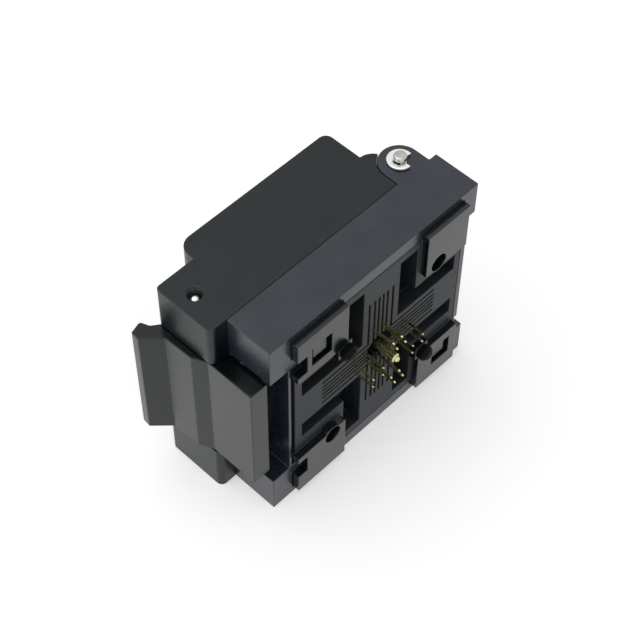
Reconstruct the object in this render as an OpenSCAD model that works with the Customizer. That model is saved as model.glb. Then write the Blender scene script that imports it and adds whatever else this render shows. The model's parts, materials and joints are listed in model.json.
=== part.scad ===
// Clamshell zero-insertion-force test socket for a 16-lead square no-lead chip.
// It lies on one long side. X runs from the latch end to the hinge end, Y runs up out of the
// board through the socket to the lid, and Z is across the socket. The origin is the centre
// of the contact field on the surface of the board. All sizes are in millimetres.

/* [Overall] */
// Width across the two side faces
width = 29.3; // [28:0.1:32]
// Contact field centre to the latch end of the base
latch_reach = 16.45; // [16.3:0.05:16.8]
// Contact field centre to the hinge end of the base
hinge_reach = 14.65; // [14.5:0.05:16]
// Height of the rim of the base above the board
standoff = 0.9; // [0.7:0.05:1.1]
// Height of the parting line between base and lid
seam_y = 6.95; // [6.9:0.05:7.2]
// Height of the top of the lid
lid_top_y = 17.49; // [17.3:0.05:19]
// Gap between parts that lie side by side
gap = 0.1; // [0.06:0.01:0.15]

/* [Contacts] */
// Contact pitch along each side of the chip
pitch = 0.65; // [0.6:0.01:0.65]
// Contacts on each side of the chip
side_count = 4; // [2:1:4]
// Thickness of the contact sheet
sheet = 0.2; // [0.15:0.01:0.22]
// Width of a contact beam in its plane
beam = 0.28; // [0.22:0.01:0.32]
// Inner row of tails, from the centre
inner_row = 2.37; // [2.3:0.01:2.6]
// Outer row of tails, from the centre
outer_row = 3.9; // [3.6:0.01:4.2]
// Length of the tails below the surface of the board
tail_length = 2.02; // [1.6:0.01:2.5]
// Distance of the contact tips from the centre
tip_radius = 1.8; // [1.75:0.01:1.9]
// Height of the contact tips
tip_y = 6.2; // [6:0.05:6.3]
// Centre of the contact bend, from the centre of the field
bend_radius = 7.7; // [7:0.05:7.8]

/* [Contact plate] */
// Thickness of the contact plate
plate_t = 2; // [1.8:0.05:2.2]
// Length of each contact slit, from the centre
slit_reach = 8.85; // [8.8:0.05:9]
// Width of the contact slits
slit_w = 0.3; // [0.28:0.01:0.34]
// Place of the two guide slits beside each contact group
guide_slit = 1.8; // [1.7:0.05:1.9]
// Radius of the well round the centre contact
well_r = 2; // [1.6:0.05:2.1]
// Inner edge of the corner pads along the socket
pad_inner_x = 6; // [5.9:0.05:6.3]
// Inner edge of the corner pads across the socket
pad_inner_z = 7.15; // [7:0.05:7.3]
// Radius of the board screw holes
screw_r = 1.14; // [1:0.02:1.2]
// Place of the board screw holes, along and across
screw_at = 8; // [7.95:0.05:8.3]
// Radius of the board locating pegs
peg_r = 0.95; // [0.8:0.05:1]
// Place of the locating pegs, along and across
peg_at = 6.4; // [6.35:0.05:6.5]
// Length of the locating pegs below the surface of the board
peg_length = 1.2; // [0.8:0.05:1.5]

/* [Base] */
// Distance of the window edge nearest the centre
window_in = 2.75; // [2.7:0.05:2.9]
// Width of the long windows
window_w = 2.7; // [2.4:0.05:2.8]
// Width of the short windows
slot_w = 2.4; // [2.2:0.05:2.5]
// Width of the front slot for the latch hook
hook_slot = 18.4; // [18:0.1:19]
// Length of the front slot for the latch hook
hook_slot_l = 2.55; // [2.4:0.05:2.6]
// Underside of the ledge that the latch hook catches
ledge_y = 4.4; // [4.2:0.05:4.6]
// Width of the corner blocks at the hinge end
corner_block = 4.6; // [4:0.1:5]
// Half width of the nest pocket
nest_half = 8.4; // [8.3:0.05:8.5]
// Floor of the nest pocket
pocket_y = 4.9; // [4.8:0.05:5]

/* [Hinge] */
// Hinge axis from the contact field centre
hinge_x = 11.1; // [11:0.05:11.4]
// Height of the hinge axis
hinge_y = 8.9; // [8.8:0.05:9]
// Radius of the hinge ears
ear_r = 2.45; // [2.3:0.05:2.5]
// Thickness of the hinge ears
ear_t = 3.2; // [2.8:0.1:3.4]
// Radius of the lid knuckles
knuckle_r = 2.35; // [2.2:0.05:2.4]
// Length of the lid knuckles
knuckle_l = 3; // [2.5:0.1:3.5]
// Radius of the hinge shaft
shaft_r = 0.75; // [0.7:0.01:0.8]
// Running clearance of shafts and pins
running = 0.03; // [0.02:0.01:0.05]
// Outer radius of the retaining ring
ring_r = 1.47; // [1.4:0.01:1.5]
// Thickness of the retaining ring
ring_t = 0.4; // [0.3:0.05:0.5]

/* [Lid] */
// Front wall of the raised part of the lid, from the centre
lid_front = 13.35; // [13.3:0.05:13.5]
// Rear wall of the lid, from the centre
lid_rear = 8.62; // [8.5:0.02:8.64]
// Height of the top of the lid ears
lid_ear_y = 14.97; // [14.7:0.05:15.2]
// Reach of the lid ears past the latch end of the base
ear_reach = 2.2; // [2:0.05:2.4]
// Width of the lid ear on the ring side
lid_ear_w = 5.9; // [5.7:0.1:6]
// Width of the lid ear on the other side
lid_ear_w2 = 6.75; // [6.5:0.05:6.8]
// Play of the latch between the lid ears, each side
latch_play = 0.15; // [0.1:0.01:0.2]
// Thickness of the top of the lid
lid_roof = 2.5; // [2.2:0.1:2.7]

/* [Latch] */
// Latch pivot from the contact field centre
pivot_x = -16.4; // [-16.5:0.05:-16.3]
// Height of the latch pivot
pivot_y = 11.55; // [11.4:0.05:11.8]
// Radius of the latch pin
pin_r = 0.6; // [0.5:0.02:0.65]
// Thickness of the latch leg
leg_t = 2.35; // [2:0.05:2.4]
// Engagement of the latch hook under the ledge
engagement = 0.3; // [0.2:0.05:0.35]

/* [Nest and pusher] */
// Side of the square chip
chip = 4; // [3.9:0.05:4]
// Top of the nest plate
nest_top_y = 6.75; // [6.6:0.05:6.8]
// Travel of the floating nest
nest_travel = 0.4; // [0.3:0.05:0.45]
// Half length of the pusher along the socket
pusher_half_x = 6.2; // [6:0.1:6.3]
// Half length of the pusher across the socket
pusher_half_z = 7.4; // [7:0.1:7.6]
// Travel of the pusher
pusher_travel = 0.5; // [0.4:0.05:0.6]
// Travel of the centre contact
plunger_travel = 0.4; // [0.3:0.05:0.45]

/* [Hidden] */

$fn = 48;
eps = 0.01;
half_w = width / 2;
big = 2 * width;

// Base heights
plate_top_y = standoff + plate_t;
web_y = 4.3;
corner_drop = 0.05;
rear_step = 1.05;
rear_wall_x = hinge_reach - rear_step;
rear_notch = 0.4;
rear_notch_z = 7.5;
ear_inner_z = half_w - ear_t;
ledge_t = 0.8;
ledge_lead = 0.65;
ledge_rail = 0.4;
thread_r = screw_r - 0.3;
// Rim walls beside the contact plate and beside its pads
rim_t = 1.8;
pad_rim_t = 1.05;
pad_rear_t = 2.15;
rim_front_x = -latch_reach + hook_slot_l + ledge_rail;
rim_side_z = half_w - rim_t;
pad_side_z = half_w - pad_rim_t;
plate_rear_x = hinge_reach - rim_t;
pad_rear_x = hinge_reach - pad_rear_t;
// Long windows and the outer ends of the short ones
window_out_z = 11.7;
slot_out_x = 11.95;
// Square feet of the pegs, and the notch at the latch end that takes a locating tab of the base
peg_foot = 0.05;
peg_nose = 0.4;
notch_depth = 1.5;
notch_in_z = 8.1;
notch_out_z = 10.8;
tab_in_z = notch_in_z + 0.9;
front_groove = 0.5;
slot_in_z = window_in - 0.1;
slit_in = well_r - 0.3;
tab_fit = 0.15;
// Comb that holds the contacts
comb_reach = 9.2;
comb_half = 2.25;
comb_top_y = 4.2;
comb_lip = 0.5;
comb_fit = 0.01;
comb_slit_in = tip_radius - 0.6;
// Path of a contact from its bar to its tip
bar_y = 1.5;
bar_in = 2.2;
bend_r = 0.9;
arm_x = 3.4;
arm_y = 4.4;
arm_rise = 0.3;
tip_lead = 0.1;
// Hooks that hold the contact plate
hook_at = 9.9;
hook_window = 2.9;
hook_post_x = 2;
hook_post_z = 1.9;
hook_low_y = 0.35;
// Nest heights
nest_floor_y = pocket_y + nest_travel + gap;
boss_half = 4.5;
boss_top_y = 7.5;
pocket_floor_y = 6.25;
nest_corner = 1;
nest_leg_w = 2;
nest_leg_t = 0.8;
nest_leg_x = window_in + window_w / 2;
nest_leg_z = nest_half - 0.5;
nest_hook = 0.35;
nest_hook_t = 0.8;
nest_hook_y = web_y - gap - nest_hook_t;
nest_slit_out = 4.2;
nest_slit_roof = 0.5;
chip_play = 0.1;
chip_lead = 0.6;
// Springs under the nest
nest_spring_y = pocket_y - 1.2;
nest_seat_y = nest_floor_y + 0.65;
nest_spring_at = nest_half - 1.2;
nest_wire_r = 0.13;
nest_coil_r = 0.68;
nest_turns = 3.5;
nest_spring_hole = nest_coil_r + nest_wire_r + 0.14;
// Centre contact
barrel_r = 0.6;
barrel_bore = 0.42;
plunger_r = 0.25;
ground_wire_r = 0.06;
barrel_tail_r = barrel_r - 0.05;
barrel_nose_r = 0.36;
barrel_nose_l = 0.4;
barrel_top_y = pocket_y + 0.1;
barrel_lip = 0.25;
barrel_edge = 0.1;
collar_r = barrel_r + 0.35;
collar_t = 0.5;
plunger_head_y = barrel_top_y - barrel_lip;
plunger_head_t = 0.75;
plunger_tail_y = plunger_head_y - plunger_head_t;
plunger_nose = 0.15;
ground_spring_l = 2.1 + plunger_travel;
ground_spring_y = plunger_tail_y - ground_spring_l;
recess_back_x = -lid_front - 0.4;
// Lid corners and the rear shoulder over the hinge ears
lid_rear_r = 1;
lid_front_r = 1.7;
ear_top_r = 0.5;
ear_low_r = 0.8;
shoulder_r = 2.05;
shoulder_rise = 1.45;
knuckle_foot = 1.5;
arm_top_y = hinge_y + 3.4;
// Lid cavity and the mould cores round it
cavity_front = 8.3;
cavity_rear = 6.8;
cavity_half = 9.3;
cavity_top_y = lid_top_y - lid_roof;
core_rib = 1.4;
core_wall = 1.5;
core_front_x = recess_back_x + 1.6;
pin_flare = 0.35;
pin_flare_l = 0.4;
pin_inset = 0.3;
// Pusher heights
pusher_low_y = 9.8;
pusher_top_y = 12.4;
pusher_nose_y = 7.2;
stem_x = 4.6;
stem_z = 5.6;
stem_r = 0.6;
head_r = 1.15;
stem_top_y = cavity_top_y + 1.6;
step_half = 4;
step_t = 1.2;
tip_half = 2.5;
tip_fit = 0.02;
tip_sink = 0.8;
nose_play = 0.3;
push_coil_r = 1.05;
push_wire_r = 0.2;
push_turns = 4;
spring_seat_r = push_coil_r + push_wire_r + 0.15;
stem_head_t = 0.6;
stem_head_y = pusher_low_y + pusher_travel;
spring_seat_y = cavity_top_y + 0.6;
// Hinge parts
head_t = 0.6;
shaft_head_r = shaft_r + 0.5;
groove_d = 0.15;
groove_z = half_w + gap / 2;
groove_w = ring_t + gap / 2;
ring_band = 0.62;
ring_turn = -50;
prong_w = 0.8;
hinge_wire_r = 0.25;
hinge_coil_r = shaft_r + hinge_wire_r + 0.05;
hinge_turns = 5.5;
hinge_rise = 0.62;
relief_r = ear_r + 0.3;
shaft_tip = 1.1;
// Latch
lid_ear_x = -latch_reach - ear_reach;
ear_gap_z0 = lid_ear_w2 - half_w;
ear_gap_z1 = half_w - lid_ear_w;
leg_front_x = -latch_reach - 2.1;
leg_back_x = leg_front_x + leg_t;
hook_edge_x = -latch_reach + 0.9;
hook_tip_x = hook_edge_x + engagement;
latch_low_y = standoff + 0.7;
leg_bend_y = 7.8;
waist_x = leg_front_x - 0.8;
waist_low_y = 9.5;
waist_top_y = 13.1;
waist_draft = 0.15;
tab_x = leg_front_x - 2.95;
tab_low_y = 15.1;
tab_top_y = 16.55;
tab_draft = 0.1;
tab_r = 0.35;
tab_t = 1.4;
barrel_low_y = pivot_y - 1.65;
barrel_h = 3.3;
hook_play = 0.05;
hook_t = 0.65;
spring_half = 3.2;
notch_x = 1.5;
notch_rise = 2.05;
latch_wire_r = 0.18;
latch_coil_r = pin_r + latch_wire_r + 0.03;
latch_turns = 6.5;
latch_rise = 0.48;

// Solid between two Y levels from an outline drawn in X and Z
module upright(y0, y1) translate([0, y1, 0]) rotate([90, 0, 0]) linear_extrude(y1 - y0)
    children();

// Solid that runs across the socket between two Z levels
module across(z0, z1) translate([0, 0, z0]) linear_extrude(z1 - z0) children();

// Round post along Y
module post(x, z, y0, y1, r, r_top = -1) translate([x, y0, z]) rotate([-90, 0, 0])
    cylinder(h = y1 - y0, r1 = r, r2 = r_top < 0 ? r : r_top);

// Rectangle between two corners
module span(x0, x1, z0, z1) translate([x0, z0]) square([x1 - x0, z1 - z0]);

// The same shape on both sides of the socket
module both_sides() {
    children();
    mirror([0, 0, 1]) children();
}

// The same outline mirrored into all four quadrants
module quadrants() for (a = [-1, 1], b = [-1, 1]) scale([a, b]) children();

// Points on an arc
function arc(x, y, r, a0, a1, n = 6) = [for (i = [0:n])
    let (a = a0 + (a1 - a0) * i / n) [x + r * cos(a), y + r * sin(a)]];

// Points on a curve with one control point
function curve(a, b, c, n = 6) = [for (i = [0:n])
    let (t = i / n) (1 - t) * (1 - t) * a + 2 * t * (1 - t) * b + t * t * c];

// Outline of a strip of even width along a path
function side_of(p, i) = let (a = p[max(i - 1, 0)], b = p[min(i + 1, len(p) - 1)], d = b - a)
    [-d[1], d[0]] / norm(d);
function strip(p, w) = concat([for (i = [0:len(p) - 1]) p[i] + side_of(p, i) * w / 2],
    [for (i = [len(p) - 1:-1:0]) p[i] - side_of(p, i) * w / 2]);

// Round wire along a path in space, with its rings square to the path
module wire(path, r, sides = 6) {
    count = len(path);
    rings = [for (i = [0:count - 1])
        let (t = path[min(i + 1, count - 1)] - path[max(i - 1, 0)],
            n = cross(t, [0, 0, 1]) / norm(cross(t, [0, 0, 1])),
            b = cross(n, t) / norm(t))
        [for (k = [0:sides - 1]) path[i] + r * (cos(360 * k / sides) * n
            + sin(360 * k / sides) * b)]];
    faces = [for (i = [0:count - 2], k = [0:sides - 1])
        let (m = (k + 1) % sides)
        each [[i * sides + k, (i + 1) * sides + k, i * sides + m],
            [i * sides + m, (i + 1) * sides + k, (i + 1) * sides + m]]];
    start = [[for (k = [0:sides - 1]) k]];
    finish = [[for (k = [sides - 1:-1:0]) (count - 1) * sides + k]];
    polyhedron([for (ring = rings, p = ring) p], concat(faces, start, finish));
}

// Points of a coil round Z
function coil(r, turns, rise, steps, from = 0) = [for (i = [0:turns * steps])
    let (a = from + 360 * i / steps) [r * cos(a), r * sin(a), rise * i / steps]];

// Compression spring along Y that fills the height between two levels
module push_spring(x, z, y0, y1, r, wire_r, turns, steps = 12, sides = 6)
    translate([x, y0 + wire_r + eps, z]) rotate([-90, 0, 0])
    wire(coil(r, turns, (y1 - y0 - 2 * wire_r - 2 * eps) / turns, steps), wire_r, sides);

// Place of each contact across its group
function lane(i) = (i - (side_count - 1) / 2) * pitch;

// Slits of one contact group, drawn towards +Z
module slit_group(from, reach, w = slit_w)
    for (i = [0:side_count - 1]) span(lane(i) - w / 2, lane(i) + w / 2, from, reach);

// The two guide slits beside a contact group
module guide_slits(from, reach) for (s = [-1, 1])
    span(s * guide_slit - slit_w / 2, s * guide_slit + slit_w / 2, from, reach);
module four_ways() for (k = [0:3]) rotate(90 * k) children();

// Side view of a stamped contact: tail, bar, bend, arm and tip
module contact_outline(tail_at) {
    span(tail_at - sheet / 2, tail_at + sheet / 2, -tail_length + sheet, bar_y);
    polygon([[tail_at - sheet / 2, sheet - tail_length], [tail_at + sheet / 2, sheet - tail_length],
        [tail_at + sheet / 5, -tail_length], [tail_at - sheet / 5, -tail_length]]);
    polygon(strip(concat([[bar_in, bar_y]],
        arc(bend_radius, bar_y + bend_r, bend_r, -90, 90, 10),
        curve([arm_x, arm_y], [tip_radius + tip_lead, arm_y + arm_rise], [tip_radius, tip_y])),
        beam));
}

// One side of the chip: tails alternate between the outer and the inner row
module contact_row(turn) color("gold") rotate([0, turn, 0])
    for (i = [0:side_count - 1]) translate([0, 0, -lane(i) - sheet / 2])
        linear_extrude(sheet) contact_outline(i % 2 == 0 ? outer_row : inner_row);

module contacts_hinge_side() contact_row(0);
module contacts_right_side() contact_row(90);
module contacts_latch_side() contact_row(180);
module contacts_left_side() contact_row(270);

// Outline of the contact plate at the rim, with a tab beside each corner pad
module plate_outline(grow) {
    span(rim_front_x + gap - grow, plate_rear_x - gap + grow,
        -rim_side_z + gap - grow, rim_side_z - gap + grow);
    for (s = [-1, 1]) scale([1, s]) {
        span(pad_inner_x - grow, pad_rear_x + grow, pad_inner_z, pad_side_z + grow);
        span(rim_front_x + gap - grow, -pad_inner_x + grow, pad_inner_z, pad_side_z + grow);
    }
}

// Cross of two equal bars
module cross_outline(reach, half) {
    square([2 * reach, 2 * half], center = true);
    square([2 * half, 2 * reach], center = true);
}

// Windows on both sides of each contact group
module windows() quadrants() {
    span(window_in, window_in + window_w, slot_in_z, window_out_z);
    span(window_in, slot_out_x, slot_in_z, slot_in_z + slot_w);
}

// Moulded plate that closes the bottom and guides every contact tail
module contact_plate() color("dimgray") difference() {
    union() {
        upright(standoff, plate_top_y) difference() {
            plate_outline(0);
            windows();
            four_ways() {
                slit_group(slit_in, slit_reach);
                guide_slits(slit_in, slit_reach);
            }
        }
        upright(0, standoff + eps) for (s = [-1, 1]) scale([1, s]) {
            span(pad_inner_x, pad_rear_x, pad_inner_z, pad_side_z);
            span(rim_front_x + gap, -pad_inner_x, pad_inner_z, pad_side_z);
        }
        for (s = [-1, 1]) {
            upright(0, standoff + eps) translate([-s * peg_at, s * peg_at])
                square(2 * (peg_r + peg_foot), center = true);
            post(-s * peg_at, s * peg_at, peg_nose - peg_length, eps, peg_r);
            post(-s * peg_at, s * peg_at, -peg_length, peg_nose - peg_length, peg_r - peg_nose,
                peg_r);
        }
    }
    // Groove along the rim at the latch end
    upright(standoff - eps, plate_top_y + eps)
        span(rim_front_x, rim_front_x + front_groove, -pad_inner_z, pad_inner_z);
    post(0, 0, standoff - eps, plate_top_y + eps, well_r);
    for (s = [-1, 1]) {
        post(s * screw_at, s * screw_at, -eps, plate_top_y + eps, screw_r);
        upright(-eps, plate_top_y + eps) translate([-s * hook_at, s * hook_at])
            square(hook_window, center = true);
        scale([1, 1, s]) upright(-eps, plate_top_y + eps)
            span(rim_front_x - gap, rim_front_x + notch_depth, notch_in_z, notch_out_z);
    }
}

// Slotted block that keeps the contacts apart above the plate
module contact_comb() color("#4b4f55") upright(plate_top_y + eps, comb_top_y) difference() {
    cross_outline(comb_reach, comb_half);
    circle(barrel_r + comb_fit);
    four_ways() slit_group(comb_slit_in, slit_reach, sheet + 2 * comb_fit);
}

// Side view of a hinge ear
module ear_outline() {
    translate([hinge_x, hinge_y]) circle(ear_r);
    span(hinge_x - ear_r, hinge_x + ear_r, standoff + plate_t, hinge_y);
}

// Side view of the lip that the latch hook catches, with a sloped lead-in
module ledge_outline() polygon([[hook_edge_x, ledge_y], [hook_edge_x, ledge_y + ledge_t],
    [hook_edge_x + ledge_lead, seam_y], [rim_front_x, seam_y], [rim_front_x, ledge_y]]);

// Lower housing with its hinge ears, the latch ledge and the seats of the inner parts
module base_housing() color("slategray") difference() {
    union() {
        difference() {
            upright(standoff, seam_y)
                span(-latch_reach, rear_wall_x, -half_w, half_w);
            // Slot and recess for the latch between the front corner blocks
            upright(standoff - eps, seam_y + eps)
                span(-latch_reach - eps, -latch_reach + hook_slot_l,
                    -hook_slot / 2, hook_slot / 2);
        }
        across(-hook_slot / 2 - eps, hook_slot / 2 + eps) ledge_outline();
        both_sides() {
            upright(standoff, seam_y - corner_drop)
                span(rear_wall_x - eps, hinge_reach, half_w - corner_block, half_w);
            across(ear_inner_z, half_w) ear_outline();
            // Tab that locates the contact plate
            upright(standoff, plate_top_y)
                span(rim_front_x - eps, rim_front_x + notch_depth - tab_fit,
                    tab_in_z, notch_out_z - tab_fit);
        }
        // Snap hooks that hold the contact plate
        for (s = [-1, 1]) translate([-s * hook_at, 0, s * hook_at])
            upright(hook_low_y, plate_top_y + eps) square([hook_post_x, hook_post_z], center = true);
    }
    // Seat of the contact plate
    difference() {
        upright(standoff - eps, plate_top_y) plate_outline(gap);
        both_sides() upright(standoff - 2 * eps, plate_top_y + eps)
            span(rim_front_x - gap, rim_front_x + notch_depth - tab_fit,
                tab_in_z, notch_out_z - tab_fit);
        for (s = [-1, 1]) translate([-s * hook_at, 0, s * hook_at])
            upright(0, plate_top_y + eps) square([hook_post_x, hook_post_z], center = true);
    }
    // Seat of the comb, open above but for a lip at the end of each arm
    upright(plate_top_y - eps, comb_top_y + eps) cross_outline(comb_reach + gap, comb_half + gap);
    upright(comb_top_y, pocket_y + eps) cross_outline(comb_reach - comb_lip, comb_half + gap);
    // Hollows over the windows
    upright(plate_top_y - eps, web_y) windows();
    // Pocket of the floating nest, the slots for its hooks and the spring seats
    upright(pocket_y, seam_y + eps) square(2 * (nest_half + gap), center = true);
    upright(web_y - eps, pocket_y + eps) quadrants() nest_leg_outline(gap, gap);
    for (a = [-1, 1], b = [-1, 1])
        post(a * nest_spring_at, b * nest_spring_at, nest_spring_y, seam_y, nest_spring_hole);
    // Notches in the rear wall beside its corner blocks
    both_sides() upright(standoff - eps, plate_top_y)
        span(rear_wall_x - rear_notch, rear_wall_x + eps, rear_notch_z, half_w - corner_block);
    // Blind holes for the board screws
    for (s = [-1, 1]) post(s * screw_at, s * screw_at, plate_top_y - eps, web_y, thread_r);
    // Relief for the lid knuckles and the hinge springs
    across(-ear_inner_z, ear_inner_z) translate([hinge_x, hinge_y]) circle(relief_r);
    // Bore of the hinge shaft, with a counterbore for its head
    across(-half_w - eps, half_w + eps) translate([hinge_x, hinge_y])
        circle(shaft_r + running);
    across(-half_w - eps, -half_w + head_t) translate([hinge_x, hinge_y])
        circle(shaft_head_r + gap);
}

// Tube of the centre contact, with its solder tail
module ground_barrel() color("gold") rotate([-90, 0, 0]) difference() {
    rotate_extrude() polygon(concat([[0, -tail_length]],
        arc(0, -tail_length + barrel_nose_r, barrel_nose_r, -80, 0),
        [[barrel_nose_r, -tail_length + barrel_nose_l],
        [barrel_tail_r, -tail_length + barrel_nose_l + barrel_edge],
        [barrel_tail_r, plate_top_y - collar_t], [collar_r, plate_top_y - collar_t],
        [collar_r, plate_top_y], [barrel_r, plate_top_y], [barrel_r, barrel_top_y - barrel_edge],
        [barrel_r - barrel_edge, barrel_top_y], [0, barrel_top_y]]));
    translate([0, 0, ground_spring_y])
        cylinder(h = plunger_head_y + 5 * eps - ground_spring_y, r = barrel_bore);
    cylinder(h = big, r = plunger_r + running);
}

// Sprung pin that meets the pad under the chip
module ground_plunger() color("gold") rotate([-90, 0, 0]) rotate_extrude() polygon([
    [0, plunger_tail_y], [barrel_bore - running, plunger_tail_y],
    [barrel_bore - running, plunger_head_y], [plunger_r, plunger_head_y],
    [plunger_r, tip_y - plunger_nose], [plunger_r - plunger_nose, tip_y], [0, tip_y]]);

module ground_spring() color("silver") push_spring(0, 0, ground_spring_y, plunger_tail_y,
    barrel_bore - 2 * ground_wire_r, ground_wire_r, 7, 8, 5);

// Outline of a nest hook's leg, grown along and across
module nest_leg_outline(grow_x = 0, grow_z = 0) translate([nest_leg_x, nest_leg_z])
    square([nest_leg_w + 2 * grow_x, nest_leg_t + 2 * grow_z], center = true);

// Floating nest that centres the chip over the contact tips
module nest() color("#3d4146") difference() {
    union() {
        upright(nest_floor_y, nest_top_y) difference() {
            square(2 * nest_half, center = true);
            quadrants() translate([nest_half, nest_half]) circle(r = nest_corner, $fn = 4);
        }
        upright(nest_top_y - eps, boss_top_y) square(2 * boss_half, center = true);
        // Hooks that keep the nest in the base
        upright(nest_hook_y, nest_floor_y + eps) quadrants() nest_leg_outline();
        upright(nest_hook_y, web_y - gap) quadrants() translate([0, nest_hook / 2])
            nest_leg_outline(0, nest_hook / 2);
    }
    // Pocket for the chip with sloped walls above it
    upright(pocket_floor_y, boss_top_y + eps) square(chip + chip_play, center = true);
    for (k = [0:3]) rotate([0, 90 * k, 0]) across(-chip / 2 - chip_lead, chip / 2 + chip_lead)
        polygon([[0, boss_top_y + eps], [0, boss_top_y - chip_lead],
            [chip / 2, boss_top_y - chip_lead], [chip / 2 + chip_lead, boss_top_y + eps]]);
    // Slits for the contact tips and a hole for the centre contact
    upright(nest_floor_y - eps, boss_top_y) four_ways() slit_group(tip_radius - beam - gap,
        chip / 2 + beam);
    upright(nest_floor_y - eps, pocket_floor_y - nest_slit_roof) four_ways()
        slit_group(tip_radius - beam - gap, nest_slit_out);
    post(0, 0, nest_floor_y - eps, boss_top_y, barrel_r + gap);
    for (a = [-1, 1], b = [-1, 1])
        post(a * nest_spring_at, b * nest_spring_at, nest_floor_y - eps, nest_seat_y,
            nest_spring_hole);
}

module nest_springs() color("silver") for (a = [-1, 1], b = [-1, 1])
    push_spring(a * nest_spring_at, b * nest_spring_at, nest_spring_y, nest_seat_y,
        nest_coil_r, nest_wire_r, nest_turns, 10);

// Headed shaft with a groove for the retaining ring
module hinge_shaft() color("silver") translate([hinge_x, hinge_y, 0]) rotate_extrude() polygon([
    [0, -half_w], [shaft_head_r, -half_w], [shaft_head_r, -half_w + head_t],
    [shaft_r, -half_w + head_t], [shaft_r, groove_z], [shaft_r - groove_d, groove_z],
    [shaft_r - groove_d, groove_z + groove_w], [shaft_r, groove_z + groove_w],
    [shaft_r, half_w + shaft_tip - groove_d], [shaft_r - groove_d, half_w + shaft_tip],
    [0, half_w + shaft_tip]]);

// Push-on ring with three prongs that grip the groove
module retaining_ring() color("gainsboro") translate([hinge_x, hinge_y, groove_z + eps])
    rotate(ring_turn) linear_extrude(ring_t) difference() {
        circle(ring_r);
        circle(shaft_r - groove_d);
        difference() {
            circle(ring_r - ring_band);
            for (a = [60, 180, 300]) rotate(a) translate([0, -prong_w / 2])
                square([ring_r, prong_w]);
        }
        translate([0, groove_d - shaft_r]) square([2 * ring_r, 2 * (shaft_r - groove_d)]);
        translate([ring_r, 0]) circle(shaft_r + groove_d / 3);
    }

// Torsion spring round the shaft: one leg on the lid wall, one on the base
module hinge_spring() color("silver") translate([hinge_x, hinge_y, 1])
    wire(concat([[lid_rear - hinge_x + 2 * eps, hinge_coil_r, 0], [-0.8, hinge_coil_r, 0]],
        coil(hinge_coil_r, hinge_turns, hinge_rise, 12, 90),
        [[0.9, -hinge_coil_r - 0.1, hinge_turns * hinge_rise],
        [(relief_r - 3 * eps) * cos(-50), (relief_r - 3 * eps) * sin(-50),
        hinge_turns * hinge_rise]]), hinge_wire_r);
module hinge_spring_left() hinge_spring();
module hinge_spring_right() mirror([0, 0, 1]) hinge_spring();

// Side view of the lid with its front ears and rear lugs
module lid_outline() difference() {
    union() {
        polygon(concat(
            arc(lid_ear_x + ear_low_r, seam_y + ear_low_r + eps, ear_low_r, 180, 270),
            [[lid_rear, seam_y + eps]],
            arc(lid_rear - lid_rear_r, lid_top_y - lid_rear_r, lid_rear_r, 0, 90),
            arc(lid_front_r - lid_front, lid_top_y - lid_front_r, lid_front_r, 90, 180),
            [[-lid_front, lid_ear_y]],
            arc(lid_ear_x + ear_top_r, lid_ear_y - ear_top_r, ear_top_r, 90, 180)));
        translate([lid_rear - gap, hinge_y + shoulder_rise]) circle(shoulder_r);
    }
    translate([hinge_x, hinge_y]) circle(ear_r + gap);
    span(hinge_x - ear_r - gap, hinge_x + ear_r, seam_y - 1, hinge_y);
}

// Side view of a lid knuckle and the arm that carries it
module knuckle_outline() {
    translate([hinge_x, hinge_y]) circle(knuckle_r);
    polygon([[cavity_rear, seam_y + eps], [hinge_x - knuckle_foot, seam_y + eps],
        [hinge_x, hinge_y], [hinge_x, hinge_y + knuckle_r], [lid_rear - gap, arm_top_y],
        [cavity_rear, arm_top_y]]);
}

// Upper housing with its ears, knuckles, mould cores and the seats of the pusher pins
module lid_housing() color("#2f3432") difference() {
    union() {
        difference() {
            across(-half_w, half_w) lid_outline();
            // Room between the ears for the latch
            across(ear_gap_z0, ear_gap_z1)
                span(-latch_reach - 2 * ear_reach, recess_back_x, seam_y - 1, lid_top_y + 1);
            // Cavity of the pusher
            upright(seam_y - 1, cavity_top_y)
                span(-cavity_front, cavity_rear, -cavity_half, cavity_half);
            // Room for the hinge springs between the knuckles
            across(-ear_inner_z, ear_inner_z)
                span(lid_rear + eps, hinge_x + ear_r, seam_y - 1, lid_top_y);
        }
        both_sides() across(ear_inner_z - gap - knuckle_l, ear_inner_z - gap)
            knuckle_outline();
    }
    // Mould cores in the thick side walls and the front wall
    both_sides() upright(seam_y - 1, cavity_top_y)
        span(-cavity_front, cavity_rear - knuckle_foot / 3, cavity_half + core_rib,
            half_w - core_wall);
    upright(seam_y - 1, cavity_top_y)
        span(core_front_x, -cavity_front - core_rib, -cavity_half, cavity_half);
    // Seats of the pusher springs and pins
    for (a = [-1, 1], b = [-1, 1]) {
        post(a * stem_x, b * stem_z, cavity_top_y - eps, spring_seat_y, spring_seat_r);
        post(a * stem_x, b * stem_z, cavity_top_y - eps, stem_top_y, stem_r);
    }
    // Bore of the hinge shaft
    across(-ear_inner_z, ear_inner_z) translate([hinge_x, hinge_y]) circle(shaft_r + running);
    // Bore of the latch pin, with a countersink on each side
    across(-half_w - eps, half_w + eps) translate([pivot_x, pivot_y]) circle(pin_r);
    both_sides() translate([pivot_x, pivot_y, half_w - pin_flare_l])
        cylinder(h = pin_flare_l + eps, r1 = pin_r, r2 = pin_r + pin_flare);
}

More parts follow.
